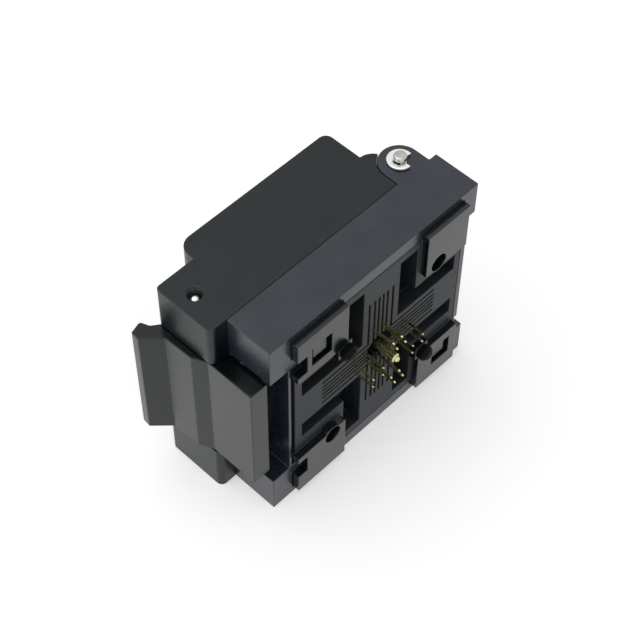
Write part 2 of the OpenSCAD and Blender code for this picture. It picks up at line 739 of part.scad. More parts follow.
// Sprung plate that presses the chip down, hung on four headed pins
module pusher() color("#54585c") difference() {
    union() {
        upright(pusher_low_y, pusher_top_y)
            square([2 * pusher_half_x, 2 * pusher_half_z], center = true);
        upright(pusher_low_y - step_t, pusher_low_y + eps) square(2 * step_half, center = true);
    }
    for (a = [-1, 1], b = [-1, 1]) {
        post(a * stem_x, b * stem_z, pusher_low_y - 2 * step_t, pusher_top_y + eps,
            stem_r + running);
        post(a * stem_x, b * stem_z, pusher_low_y - 2 * step_t, stem_head_y + stem_head_t,
            head_r + running);
    }
    upright(pusher_low_y - 2 * step_t, pusher_low_y + tip_sink) square(2 * tip_half, center = true);
}

// Replaceable pressure pad in the middle of the pusher
module pusher_tip() color("#7a7f84") {
    upright(pusher_low_y - step_t, pusher_low_y + tip_sink - eps)
        square(2 * (tip_half - tip_fit), center = true);
    upright(pusher_nose_y, pusher_low_y - step_t + eps) square(chip - nose_play, center = true);
}

module pusher_pins() color("silver") for (a = [-1, 1], b = [-1, 1]) {
    post(a * stem_x, b * stem_z, stem_head_y, stem_top_y - eps, stem_r);
    post(a * stem_x, b * stem_z, stem_head_y, stem_head_y + stem_head_t, head_r);
}

module pusher_springs() color("silver") for (a = [-1, 1], b = [-1, 1])
    push_spring(a * stem_x, b * stem_z, pusher_top_y, spring_seat_y, push_coil_r, push_wire_r,
        push_turns);

// Side view of the latch: finger tab, pivot and hook
module latch_outline() polygon(concat(
    [[leg_front_x, latch_low_y], [leg_front_x, leg_bend_y], [waist_x, waist_low_y],
    [waist_x - waist_draft, waist_top_y], [tab_x, tab_low_y], [tab_x + tab_draft, tab_top_y - tab_r]],
    arc(tab_x + tab_t, tab_top_y - tab_r, tab_r, 110, 20, 4),
    [[tab_x + tab_t + 0.65, tab_top_y - 1.05], [leg_front_x, tab_top_y - 1.7],
    [leg_front_x + 1.4, tab_top_y - 2.65], [pivot_x + notch_x, barrel_low_y + barrel_h],
    [pivot_x + notch_x, barrel_low_y], [leg_back_x, barrel_low_y - 1.3],
    [leg_back_x, ledge_y - hook_play], [hook_tip_x, ledge_y - hook_play],
    [hook_tip_x, ledge_y - hook_play - hook_t], [leg_back_x, ledge_y - 2],
    [leg_back_x, latch_low_y]]));

module latch() color("gray") difference() {
    across(ear_gap_z0 + latch_play, ear_gap_z1 - latch_play) latch_outline();
    translate([pivot_x, pivot_y, -big]) cylinder(h = 2 * big, r = pin_r + running);
    // Room for the torsion spring
    across(-spring_half, spring_half)
        span(pivot_x - notch_x, pivot_x + notch_x + 0.5, pivot_y - notch_x, pivot_y + notch_rise);
}

module latch_pin() color("silver") translate([pivot_x, pivot_y, pin_inset - half_w])
    cylinder(h = width - 2 * pin_inset, r = pin_r);

// Torsion spring on the latch pin: one leg on the latch, one on the lid wall
module latch_spring() color("silver") translate([pivot_x, pivot_y, -latch_turns * latch_rise / 2])
    wire(concat([[eps + latch_wire_r - notch_x, 1.8, 0], [-1.2, 1.2, 0]],
        coil(latch_coil_r, latch_turns, latch_rise, 12, 180),
        [[1.1, 0.9, latch_turns * latch_rise], [1.4, 1.3, latch_turns * latch_rise],
        [recess_back_x - pivot_x - 2 * eps, 1.3, latch_turns * latch_rise]]), latch_wire_r);

base_housing();
contact_plate();
contact_comb();
contacts_latch_side();
contacts_hinge_side();
contacts_left_side();
contacts_right_side();
ground_barrel();
ground_plunger();
ground_spring();
nest();
nest_springs();
hinge_shaft();
retaining_ring();
hinge_spring_left();
hinge_spring_right();
lid_housing();
pusher();
pusher_tip();
pusher_pins();
pusher_springs();
latch();
latch_pin();
latch_spring();
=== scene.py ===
import bmesh
import bpy
import json
from math import atan2, cos, degrees, hypot, pi, radians, sin
from mathutils import Matrix, Vector


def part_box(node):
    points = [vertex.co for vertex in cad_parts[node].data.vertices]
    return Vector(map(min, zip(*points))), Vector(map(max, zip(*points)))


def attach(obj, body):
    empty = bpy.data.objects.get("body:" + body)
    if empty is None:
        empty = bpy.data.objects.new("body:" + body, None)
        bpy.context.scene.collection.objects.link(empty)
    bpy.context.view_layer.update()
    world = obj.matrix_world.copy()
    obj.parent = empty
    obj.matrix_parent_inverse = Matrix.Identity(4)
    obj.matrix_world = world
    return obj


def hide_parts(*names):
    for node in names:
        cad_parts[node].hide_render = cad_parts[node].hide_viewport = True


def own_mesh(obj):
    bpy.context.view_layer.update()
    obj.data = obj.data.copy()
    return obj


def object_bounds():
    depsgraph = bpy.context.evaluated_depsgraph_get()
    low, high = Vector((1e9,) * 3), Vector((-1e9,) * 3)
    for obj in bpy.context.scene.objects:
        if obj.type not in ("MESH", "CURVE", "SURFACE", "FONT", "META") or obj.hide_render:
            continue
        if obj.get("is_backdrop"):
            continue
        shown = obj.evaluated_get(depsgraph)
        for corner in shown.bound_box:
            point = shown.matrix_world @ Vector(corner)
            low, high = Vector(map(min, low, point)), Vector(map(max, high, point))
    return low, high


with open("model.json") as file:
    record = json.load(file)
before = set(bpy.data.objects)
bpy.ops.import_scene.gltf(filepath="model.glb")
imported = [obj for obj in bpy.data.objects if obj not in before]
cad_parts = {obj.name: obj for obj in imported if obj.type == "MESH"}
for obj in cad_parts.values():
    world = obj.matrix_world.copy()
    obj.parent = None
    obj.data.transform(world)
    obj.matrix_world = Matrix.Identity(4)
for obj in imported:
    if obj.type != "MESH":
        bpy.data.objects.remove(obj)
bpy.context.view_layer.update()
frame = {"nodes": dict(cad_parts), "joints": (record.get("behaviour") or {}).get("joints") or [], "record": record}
nodes = frame["nodes"]
mm = 0.001

# places that several pieces share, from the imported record
joints = {joint["name"]: joint for joint in frame["joints"]}
mounts = {mount["name"]: mount for mount in frame["record"]["mounts"]}
hingeX, hingeY = joints["lid_hinge"]["pos_m"][:2]
latchX, latchY = joints["latch_pivot"]["pos_m"][:2]
pegPlaces = {side: mounts["locating_peg_" + side]["pos_m"] for side in ("left", "right")}
screwReach = mounts["board_screws"]["dims"]["pcd_mm"] * mm / 2 / hypot(1, 1)

# camera: the socket lies on its side and is seen from its bottom and latch end
cameraValues = {
    "place": (-81.05 * mm, -67.3 * mm, 146.15 * mm),
    "right": (0.6960, -0.7180, 0.0070),
    "forward": (0.4333, 0.4122, -0.8015),
    "lens": 93.37, "sensor": 36, "near": 0.01, "far": 10,
}


def addCamera(values):
    data = bpy.data.cameras.new("camera")
    data.lens = values["lens"]
    data.sensor_width = values["sensor"]
    data.clip_start = values["near"]
    data.clip_end = values["far"]
    camera = bpy.data.objects.new("camera", data)
    bpy.context.scene.collection.objects.link(camera)
    back = -Vector(values["forward"]).normalized()
    right = Vector(values["right"])
    right = (right - back * right.dot(back)).normalized()
    up = back.cross(right)
    turn = Matrix((right, up, back)).transposed().to_4x4()
    camera.matrix_world = Matrix.Translation(values["place"]) @ turn
    bpy.context.scene.camera = camera


addCamera(cameraValues)
print("camera placed")


# node helpers
def makeGroup(name, inputs, outputs):
    group = bpy.data.node_groups.new(name, "ShaderNodeTree")
    kinds = {"color": "NodeSocketColor", "value": "NodeSocketFloat", "vector": "NodeSocketVector"}
    for label, kind, start in inputs:
        socket = group.interface.new_socket(label, in_out="INPUT", socket_type=kinds[kind])
        socket.default_value = start
    for label, kind in outputs:
        group.interface.new_socket(label, in_out="OUTPUT", socket_type=kinds[kind])
    return group, group.nodes.new("NodeGroupInput"), group.nodes.new("NodeGroupOutput")


def addNode(tree, kind, settings=None, values=None, links=None):
    node = tree.nodes.new(kind)
    for name, value in (settings or {}).items():
        setattr(node, name, value)
    for name, value in (values or {}).items():
        node.inputs[name].default_value = value
    for name, source in (links or {}).items():
        tree.links.new(source, node.inputs[name])
    return node


def feed(tree, node, name, source):
    # links a socket, or sets the input to a plain value
    if hasattr(source, "is_output"):
        tree.links.new(source, node.inputs[name])
    else:
        node.inputs[name].default_value = source


def mixColors(tree, factor, first, second):
    node = addNode(tree, "ShaderNodeMix", {"data_type": "RGBA"})
    for index, source in ((0, factor), (6, first), (7, second)):  # the colour sockets of Mix
        feed(tree, node, index, source)
    return node.outputs[2]


def doMath(tree, operation, first, second=None, third=None, clamp=False):
    node = addNode(tree, "ShaderNodeMath", {"operation": operation, "use_clamp": clamp})
    for index, source in enumerate((first, second, third)):
        if source is not None:
            feed(tree, node, index, source)
    return node.outputs[0]


def spread(tree, source, low, high, toLow=0.0, toHigh=1.0):
    ends = {"From Min": low, "From Max": high, "To Min": toLow, "To Max": toHigh}
    return addNode(tree, "ShaderNodeMapRange", {"clamp": True}, ends, {"Value": source}).outputs[0]


# shared effects
skinValues = {
    "cloudScale": 260.0, "cloudShare": 0.7, "cloudRange": (0.38, 0.62), "cloudHeight": 0.4,
    "streakScale": (240.0, 1500.0, 1500.0), "streakShare": 0.3,
    "specksPerGrain": 0.45, "speckEdge": 0.13, "speckCore": 0.05, "speckRange": (0.45, 0.6),
    "grainRange": (0.3, 0.7), "grainShare": 0.6, "swingRange": (0.35, 0.65), "swing": 0.5}
wearValues = {"patchRange": (0.38, 0.6), "thinnest": 0.25}
drawnValues = {
    "stainScale": 900.0, "stainRange": (0.42, 0.66), "lineRange": (0.3, 0.7), "lineSwing": 0.6,
    "swingRange": (0.35, 0.65), "stainSwing": 0.4}
bevelSamples = 6


def makeRoundedEdge():
    # a soft corner: the rounded normal, and a mask that is 1 on the corner itself
    group, given, out = makeGroup(
        "roundedEdge",
        [("Radius", "value", 0.0001), ("Gain", "value", 4.0)],
        [("Mask", "value"), ("Normal", "vector")])
    bevel = addNode(group, "ShaderNodeBevel", {"samples": bevelSamples}, None,
                    {"Radius": given.outputs["Radius"]})
    geometry = group.nodes.new("ShaderNodeNewGeometry")
    dot = addNode(group, "ShaderNodeVectorMath", {"operation": "DOT_PRODUCT"}, None,
                  {0: bevel.outputs[0], 1: geometry.outputs["Normal"]})
    away = doMath(group, "SUBTRACT", 1.0, dot.outputs["Value"])
    mask = doMath(group, "MULTIPLY", away, given.outputs["Gain"], clamp=True)
    group.links.new(mask, out.inputs["Mask"])
    group.links.new(bevel.outputs[0], out.inputs["Normal"])
    return group


def makeMouldedSkin(values):
    # moulded resin: cloudy tone, flow streaks, fine pits and a few fibre specks
    group, given, out = makeGroup(
        "mouldedSkin",
        [("Color", "color", (0.1, 0.1, 0.1, 1)), ("Cloud Color", "color", (0.1, 0.1, 0.1, 1)),
         ("Speck Color", "color", (0.3, 0.3, 0.3, 1)), ("Cloud", "value", 0.5),
         ("Speck", "value", 0.2), ("Grain Size", "value", 0.00016), ("Roughness", "value", 0.5),
         ("Roughness Spread", "value", 0.1)],
        [("Color", "color"), ("Roughness", "value"), ("Height", "value")])
    place = addNode(group, "ShaderNodeTexCoord").outputs["Object"]
    cloud = addNode(group, "ShaderNodeTexNoise", None,
                    {"Scale": values["cloudScale"], "Detail": 5.0, "Roughness": 0.6},
                    {"Vector": place}).outputs[0]
    stretched = addNode(group, "ShaderNodeMapping", None, {"Scale": values["streakScale"]},
                        {"Vector": place}).outputs[0]
    streak = addNode(group, "ShaderNodeTexNoise", None, {"Scale": 1.0, "Detail": 3.0},
                     {"Vector": stretched}).outputs[0]
    fineScale = doMath(group, "DIVIDE", 1.0, given.outputs["Grain Size"])
    fine = addNode(group, "ShaderNodeTexNoise", None, {"Detail": 3.0, "Roughness": 0.7},
                   {"Vector": place, "Scale": fineScale}).outputs[0]
    speckScale = doMath(group, "MULTIPLY", fineScale, values["specksPerGrain"])
    cell = addNode(group, "ShaderNodeTexVoronoi", {"feature": "F1"}, {"Randomness": 1.0},
                   {"Vector": place, "Scale": speckScale}).outputs["Distance"]
    tone = doMath(group, "ADD", doMath(group, "MULTIPLY", cloud, values["cloudShare"]),
                  doMath(group, "MULTIPLY", streak, values["streakShare"]))
    cloudMask = doMath(group, "MULTIPLY", spread(group, tone, *values["cloudRange"]),
                       given.outputs["Cloud"])
    shaded = mixColors(group, cloudMask, given.outputs["Color"], given.outputs["Cloud Color"])
    speckMask = doMath(group, "MULTIPLY",
                       spread(group, cell, values["speckEdge"], values["speckCore"]),
                       spread(group, cloud, *values["speckRange"]))
    speckMask = doMath(group, "MULTIPLY", speckMask, given.outputs["Speck"])
    shaded = mixColors(group, speckMask, shaded, given.outputs["Speck Color"])
    group.links.new(shaded, out.inputs["Color"])
    grain = spread(group, fine, *values["grainRange"], -1.0, 1.0)
    swing = doMath(group, "ADD", doMath(group, "MULTIPLY", grain, values["grainShare"]),
                   spread(group, tone, *values["swingRange"], -values["swing"], values["swing"]))
    rough = doMath(group, "MULTIPLY_ADD", swing, given.outputs["Roughness Spread"],
                   given.outputs["Roughness"], clamp=True)
    group.links.new(rough, out.inputs["Roughness"])
    height = doMath(group, "ADD", fine, doMath(group, "MULTIPLY", tone, values["cloudHeight"]))
    group.links.new(height, out.inputs["Height"])
    return group


def makeEdgeWear(values):
    # rubbed corners, broken up by a coarse noise
    group, given, out = makeGroup(
        "edgeWear",
        [("Color", "color", (0.1, 0.1, 0.1, 1)), ("Worn Color", "color", (0.3, 0.3, 0.3, 1)),
         ("Mask", "value", 0.0), ("Amount", "value", 0.5), ("Patch Size", "value", 0.0008)],
        [("Color", "color"), ("Mask", "value")])
    place = addNode(group, "ShaderNodeTexCoord").outputs["Object"]
    scale = doMath(group, "DIVIDE", 1.0, given.outputs["Patch Size"])
    patch = addNode(group, "ShaderNodeTexNoise", None, {"Detail": 4.0, "Roughness": 0.65},
                    {"Vector": place, "Scale": scale}).outputs[0]
    broken = spread(group, patch, *values["patchRange"], values["thinnest"], 1.0)
    worn = doMath(group, "MULTIPLY", doMath(group, "MULTIPLY", given.outputs["Mask"], broken),
                  given.outputs["Amount"], clamp=True)
    shaded = mixColors(group, worn, given.outputs["Color"], given.outputs["Worn Color"])
    group.links.new(shaded, out.inputs["Color"])
    group.links.new(worn, out.inputs["Mask"])
    return group


def makeDrawnMetal(values):
    # drawn or stamped metal: fine lines along one way, soft stains, tiny scratches
    group, given, out = makeGroup(
        "drawnMetal",
        [("Color", "color", (0.7, 0.7, 0.7, 1)), ("Stain Color", "color", (0.5, 0.5, 0.5, 1)),
         ("Stain", "value", 0.4), ("Line Scale", "vector", (2000.0, 9000.0, 9000.0)),
         ("Roughness", "value", 0.3), ("Roughness Spread", "value", 0.1)],
        [("Color", "color"), ("Roughness", "value"), ("Height", "value")])
    place = addNode(group, "ShaderNodeTexCoord").outputs["Object"]
    stretched = addNode(group, "ShaderNodeVectorMath", {"operation": "MULTIPLY"}, None,
                        {0: place, 1: given.outputs["Line Scale"]}).outputs[0]
    line = addNode(group, "ShaderNodeTexNoise", None, {"Scale": 1.0, "Detail": 2.0},
                   {"Vector": stretched}).outputs[0]
    stain = addNode(group, "ShaderNodeTexNoise", None,
                    {"Scale": values["stainScale"], "Detail": 4.0, "Roughness": 0.6},
                    {"Vector": place}).outputs[0]
    mask = doMath(group, "MULTIPLY", spread(group, stain, *values["stainRange"]),
                  given.outputs["Stain"])
    shaded = mixColors(group, mask, given.outputs["Color"], given.outputs["Stain Color"])
    group.links.new(shaded, out.inputs["Color"])
    lineSwing, stainSwing = values["lineSwing"], values["stainSwing"]
    swing = doMath(group, "ADD",
                   spread(group, line, *values["lineRange"], -lineSwing, lineSwing),
                   spread(group, stain, *values["swingRange"], -stainSwing, stainSwing))
    rough = doMath(group, "MULTIPLY_ADD", swing, given.outputs["Roughness Spread"],
                   given.outputs["Roughness"], clamp=True)
    group.links.new(rough, out.inputs["Roughness"])
    group.links.new(line, out.inputs["Height"])
    return group


roundedEdge = makeRoundedEdge()
mouldedSkin = makeMouldedSkin(skinValues)
edgeWear = makeEdgeWear(wearValues)
drawnMetal = makeDrawnMetal(drawnValues)
print("shared effects built")


# materials
def startMaterial(name, preview):
    material = bpy.data.materials.new(name)
    material.use_nodes = True
    material.diffuse_color = preview
    tree = material.node_tree
    return material, tree, tree.nodes["Principled BSDF"]


def useGroup(tree, group, values):
    node = tree.nodes.new("ShaderNodeGroup")
    node.node_tree = group
    for name, value in values.items():
        feed(tree, node, name, value)
    return node.outputs


def resinFinish(name, values):
    material, tree, shader = startMaterial(name, values["color"])
    edge = useGroup(tree, roundedEdge, {
        "Radius": values["edgeRadius"], "Gain": values["edgeGain"]})
    skin = useGroup(tree, mouldedSkin, {
        "Color": values["color"], "Cloud Color": values["cloudColor"],
        "Speck Color": values["speckColor"], "Cloud": values["cloud"], "Speck": values["speck"],
        "Grain Size": values["grainSize"], "Roughness": values["roughness"],
        "Roughness Spread": values["roughnessSpread"]})
    worn = useGroup(tree, edgeWear, {
        "Color": skin["Color"], "Worn Color": values["wornColor"], "Mask": edge["Mask"],
        "Amount": values["wear"], "Patch Size": values["patchSize"]})
    bump = addNode(tree, "ShaderNodeBump", None,
                   {"Strength": values["bump"], "Distance": values["bumpDepth"]},
                   {"Height": skin["Height"], "Normal": edge["Normal"]})
    rough = skin["Roughness"]
    if "mattFrom" in values:
        # faces set back from the board side keep the matt finish of the mould
        place = addNode(tree, "ShaderNodeTexCoord").outputs["Object"]
        height = addNode(tree, "ShaderNodeSeparateXYZ", None, None, {"Vector": place}).outputs["Y"]
        setBack = spread(tree, height, values["mattFrom"] - values["mattFade"], values["mattFrom"])
        rough = doMath(tree, "MULTIPLY_ADD", setBack, values["mattRise"], rough, clamp=True)
    tree.links.new(worn["Color"], shader.inputs["Base Color"])
    tree.links.new(rough, shader.inputs["Roughness"])
    tree.links.new(bump.outputs[0], shader.inputs["Normal"])
    shader.inputs["Specular IOR Level"].default_value = values["specular"]
    return material


def metalFinish(name, values):
    material, tree, shader = startMaterial(name, values["color"])
    edge = useGroup(tree, roundedEdge, {
        "Radius": values["edgeRadius"], "Gain": values["edgeGain"]})
    drawn = useGroup(tree, drawnMetal, {
        "Color": values["color"], "Stain Color": values["stainColor"], "Stain": values["stain"],
        "Line Scale": values["lineScale"], "Roughness": values["roughness"],
        "Roughness Spread": values["roughnessSpread"]})
    bump = addNode(tree, "ShaderNodeBump", None,
                   {"Strength": values["bump"], "Distance": values["bumpDepth"]},
                   {"Height": drawn["Height"], "Normal": edge["Normal"]})
    tree.links.new(drawn["Color"], shader.inputs["Base Color"])
    tree.links.new(drawn["Roughness"], shader.inputs["Roughness"])
    tree.links.new(bump.outputs[0], shader.inputs["Normal"])
    shader.inputs["Metallic"].default_value = 1.0
    return material


resinValues = {
    "color": (0.014, 0.0195, 0.0305, 1), "cloudColor": (0.023, 0.0285, 0.04, 1), "cloud": 0.8,
    "speckColor": (0.08, 0.085, 0.11, 1), "speck": 0.35, "grainSize": 0.16 * mm,
    "roughness": 0.25, "roughnessSpread": 0.05, "specular": 0.5,
    "edgeRadius": 0.13 * mm, "edgeGain": 5.0,
    "wornColor": (0.07, 0.075, 0.085, 1), "wear": 0.4, "patchSize": 0.9 * mm,
    "bump": 0.35, "bumpDepth": 0.02 * mm}
resinKinds = {
    "baseResin": {},
    "plateResin": {
        "color": (0.004, 0.0065, 0.009, 1), "cloudColor": (0.007, 0.0105, 0.0135, 1),
        "roughness": 0.16, "wornColor": (0.045, 0.05, 0.055, 1), "wear": 0.3,
        "mattFrom": 0.88 * mm, "mattFade": 0.03 * mm, "mattRise": 0.42},
    "combResin": {
        "color": (0.003, 0.003, 0.004, 1), "cloudColor": (0.005, 0.005, 0.006, 1), "speck": 0.15,
        "wear": 0.25, "roughness": 0.45},
    "pegRubber": {
        "color": (0.0018, 0.0018, 0.002, 1), "cloudColor": (0.0035, 0.0035, 0.004, 1),
        "speck": 0.1, "wear": 0.5, "wornColor": (0.03, 0.032, 0.035, 1), "roughness": 0.55,
        "roughnessSpread": 0.12, "specular": 0.08},
    "nestResin": {
        "color": (0.01, 0.01, 0.012, 1), "cloudColor": (0.014, 0.014, 0.016, 1),
        "roughness": 0.4},
    "lidResin": {
        "color": (0.001, 0.0045, 0.0062, 1), "cloudColor": (0.003, 0.0075, 0.0092, 1),
        "speckColor": (0.06, 0.065, 0.06, 1), "grainSize": 0.22 * mm, "roughness": 0.34,
        "bump": 0.6, "wear": 0.3, "wornColor": (0.03, 0.034, 0.036, 1), "specular": 0.36},
    "pusherResin": {
        "color": (0.014, 0.015, 0.016, 1), "cloudColor": (0.02, 0.02, 0.022, 1),
        "roughness": 0.42},
    "latchResin": {
        "color": (0.0024, 0.0054, 0.0052, 1), "cloudColor": (0.0055, 0.0095, 0.009, 1),
        "roughness": 0.2, "wear": 0.4, "wornColor": (0.07, 0.075, 0.078, 1), "specular": 0.36},
}
metalValues = {"edgeGain": 3.0, "bumpDepth": 0.01 * mm}
metalKinds = {
    "goldFlash": {
        "color": (0.78, 0.73, 0.36, 1), "stainColor": (0.5, 0.48, 0.14, 1), "stain": 0.5,
        "lineScale": (4000.0, 700.0, 4000.0), "roughness": 0.17, "roughnessSpread": 0.06,
        "bump": 0.08, "edgeRadius": 0.04 * mm},
    "barrelGold": {
        "color": (0.62, 0.6, 0.3, 1), "stainColor": (0.48, 0.47, 0.2, 1), "stain": 0.35,
        "lineScale": (900.0, 900.0, 900.0), "roughness": 0.24, "roughnessSpread": 0.05,
        "bump": 0.02, "edgeRadius": 0.06 * mm},
    "ringSteel": {
        "color": (0.8, 0.81, 0.8, 1), "stainColor": (0.66, 0.67, 0.66, 1), "stain": 0.3,
        "lineScale": (2500.0, 9000.0, 2500.0), "roughness": 0.22, "roughnessSpread": 0.08,
        "bump": 0.25, "edgeRadius": 0.06 * mm},
    "shaftSteel": {
        "color": (0.5, 0.5, 0.48, 1), "stainColor": (0.3, 0.3, 0.27, 1), "stain": 0.6,
        "lineScale": (2500.0, 2500.0, 900.0), "roughness": 0.26, "roughnessSpread": 0.1,
        "bump": 0.4, "edgeRadius": 0.12 * mm},
    "pinSteel": {
        "color": (0.78, 0.78, 0.77, 1), "stainColor": (0.55, 0.55, 0.53, 1), "stain": 0.4,
        "lineScale": (2500.0, 2500.0, 900.0), "roughness": 0.24, "roughnessSpread": 0.08,
        "bump": 0.3, "edgeRadius": 0.04 * mm},
    "springWire": {
        "color": (0.55, 0.55, 0.54, 1), "stainColor": (0.32, 0.31, 0.29, 1), "stain": 0.5,
        "lineScale": (3000.0, 3000.0, 9000.0), "roughness": 0.3, "roughnessSpread": 0.12,
        "bump": 0.3, "edgeRadius": 0.03 * mm},
    "padMetal": {
        "color": (0.4, 0.41, 0.42, 1), "stainColor": (0.3, 0.3, 0.31, 1), "stain": 0.4,
        "lineScale": (900.0, 9000.0, 9000.0), "roughness": 0.38, "roughnessSpread": 0.1,
        "bump": 0.4, "edgeRadius": 0.08 * mm},
}
finishes = {name: resinFinish(name, {**resinValues, **own}) for name, own in resinKinds.items()}
for name, own in metalKinds.items():
    finishes[name] = metalFinish(name, {**metalValues, **own})

nodeFinish = {
    "base_housing": "baseResin", "contact_plate": "plateResin", "contact_comb": "combResin",
    "contacts_latch_side": "goldFlash", "contacts_hinge_side": "goldFlash",
    "contacts_left_side": "goldFlash", "contacts_right_side": "goldFlash",
    "ground_barrel": "barrelGold", "ground_plunger": "goldFlash", "ground_spring": "springWire",
    "nest": "nestResin", "nest_springs": "springWire", "hinge_shaft": "shaftSteel",
    "retaining_ring": "ringSteel", "hinge_spring_left": "springWire",
    "hinge_spring_right": "springWire", "lid_housing": "lidResin", "pusher": "pusherResin",
    "pusher_tip": "padMetal", "pusher_pins": "shaftSteel", "pusher_springs": "springWire",
    "latch": "latchResin", "latch_pin": "shaftSteel", "latch_spring": "springWire",
}
for name, finish in nodeFinish.items():
    slots = nodes[name].data.materials
    slots.clear()
    slots.append(finishes[finish])
print("finishes given to", len(nodeFinish), "nodes")


# tools for the new pieces
def clearPick():
    bpy.ops.object.select_all(action="DESELECT")


def pickPiece(piece):
    clearPick()
    piece.select_set(True)
    bpy.context.view_layer.objects.active = piece


def pick(kind, test):
    # selects the vertices, edges or faces of the piece in edit mode whose middle passes the test
    mesh = bmesh.from_edit_mesh(bpy.context.object.data)
    bpy.ops.mesh.select_mode(type={"verts": "VERT", "edges": "EDGE", "faces": "FACE"}[kind])
    bpy.ops.mesh.select_all(action="DESELECT")
    for item in getattr(mesh, kind):
        if kind == "verts":
            middle = item.co
        else:
            middle = sum((vert.co for vert in item.verts), Vector()) / len(item.verts)
        item.select_set(bool(test(item, middle)))
    mesh.select_flush_mode()
    bmesh.update_edit_mesh(bpy.context.object.data)


def useModifier(kind, settings):
    modifier = bpy.context.object.modifiers.new(kind.lower(), kind)
    for name, value in settings.items():
        setattr(modifier, name, value)
    bpy.ops.object.modifier_apply(modifier=modifier.name)


def settleHere():
    # the place and the turn go into the mesh
    bpy.ops.object.transform_apply(location=True, rotation=True, scale=True)


def settle(place=(0, 0, 0), turn=(0, 0, 0)):
    piece = bpy.context.object
    piece.location = place
    piece.rotation_euler = turn
    settleHere()


def copyTo(places):
    # the active piece goes to the first place, and a copy with its own mesh to each other one
    first = bpy.context.object
    pieces = [first]
    for place in places[1:]:
        pickPiece(first)
        bpy.ops.object.duplicate(linked=False)
        settle(place)
        pieces.append(bpy.context.object)
    pickPiece(first)
    settle(places[0])
    return pieces


def joinPieces(pieces):
    pickPiece(pieces[0])
    for piece in pieces[1:]:
        piece.select_set(True)
    if len(pieces) > 1:
        bpy.ops.object.join()


def finishPiece(name, body, finish, replaced=(), sharp=35):
    piece = bpy.context.object
    piece.name = name
    bpy.ops.object.mode_set(mode="EDIT")
    bpy.ops.mesh.select_all(action="SELECT")
    bpy.ops.mesh.normals_make_consistent(inside=False)
    bpy.ops.object.mode_set(mode="OBJECT")
    bpy.ops.object.shade_smooth_by_angle(angle=radians(sharp))
    piece.data.materials.clear()
    piece.data.materials.append(finishes[finish])
    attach(piece, body)
    if replaced:
        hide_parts(*replaced)
    return piece


# moulded and turned parts with their real small corner radii
cornerValues = {
    "lid_housing": {"radius": 0.1 * mm, "fold": 40, "body": "lid", "slot": "lid_charcoal"},
    "base_housing": {"radius": 0.09 * mm, "fold": 40, "body": "base", "slot": "housing_grey"},
    "contact_plate": {"radius": 0.05 * mm, "fold": 40, "body": "base", "slot": "plate_grey"},
    "latch": {"radius": 0.1 * mm, "fold": 12, "body": "latch", "slot": "latch_grey"},
    "nest": {"radius": 0.06 * mm, "fold": 40, "body": "nest", "slot": "nest_plastic"},
    "pusher": {"radius": 0.08 * mm, "fold": 40, "body": "pusher", "slot": "pusher_plastic"},
    "pusher_tip": {"radius": 0.06 * mm, "fold": 40, "body": "pusher", "slot": "pusher_pad"},
    "hinge_shaft": {"radius": 0.04 * mm, "fold": 40, "body": "base", "slot": "shaft_steel"},
}
cornerTools = {"merge": 0.001 * mm, "flat": 0.5, "segments": 2, "smooth": 38, "weight": 60}


def roundCorners(name, values, tools):
    # a copy of the solid, merged, with every corner sharper than the fold angle rounded over
    piece = bpy.data.objects.new(name + "_rounded", nodes[name].data.copy())
    bpy.context.scene.collection.objects.link(piece)
    pickPiece(piece)
    bpy.ops.mesh.customdata_custom_splitnormals_clear()
    bpy.ops.object.mode_set(mode="EDIT")
    bpy.ops.mesh.select_all(action="SELECT")
    bpy.ops.mesh.remove_doubles(threshold=tools["merge"])
    bpy.ops.mesh.mark_sharp(clear=True)
    bpy.ops.mesh.dissolve_limited(angle_limit=radians(tools["flat"]))
    bpy.ops.object.mode_set(mode="OBJECT")
    useModifier("BEVEL", {
        "width": values["radius"], "segments": tools["segments"], "limit_method": "ANGLE",
        "angle_limit": radians(values["fold"]), "use_clamp_overlap": False})
    finishPiece(name + "_rounded", values["body"], nodeFinish[name], [name],
                tools["smooth"])
    useModifier("WEIGHTED_NORMAL", {"weight": tools["weight"], "keep_sharp": True})


for name, values in cornerValues.items():
    roundCorners(name, values, cornerTools)
print("corners rounded on", len(cornerValues), "parts")


# retaining ring, stamped from spring steel with three prongs
ringValues = {
    "place": (hingeX, hingeY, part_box("retaining_ring")[0].z),
    "outer": 1.47 * mm, "inner": 0.85 * mm, "thick": 0.36 * mm, "steps": 90,
    "prong": 0.62 * mm, "prongs": (60, 180, 300), "prongHalf": 27,
    "open": 38, "turn": -50,
    "edge": 0.06 * mm, "edgeSteps": 3, "fold": 40, "merge": 0.0012 * mm, "rimSlack": 0.02}


def growInward(share):
    bpy.ops.mesh.extrude_edges_move()
    bpy.ops.transform.resize(value=(share, share, 1), center_override=(0, 0, 0))


def underProng(middle, values):
    # an edge of the inner rim that a prong grows from
    angle = degrees(atan2(middle.y, middle.x))
    apart = min(abs((angle - prong + 180) % 360 - 180) for prong in values["prongs"])
    rim = values["inner"]
    onRim = abs(middle.length - rim) < values["rimSlack"] * rim
    return onRim and apart < values["prongHalf"] - 180 / values["steps"]


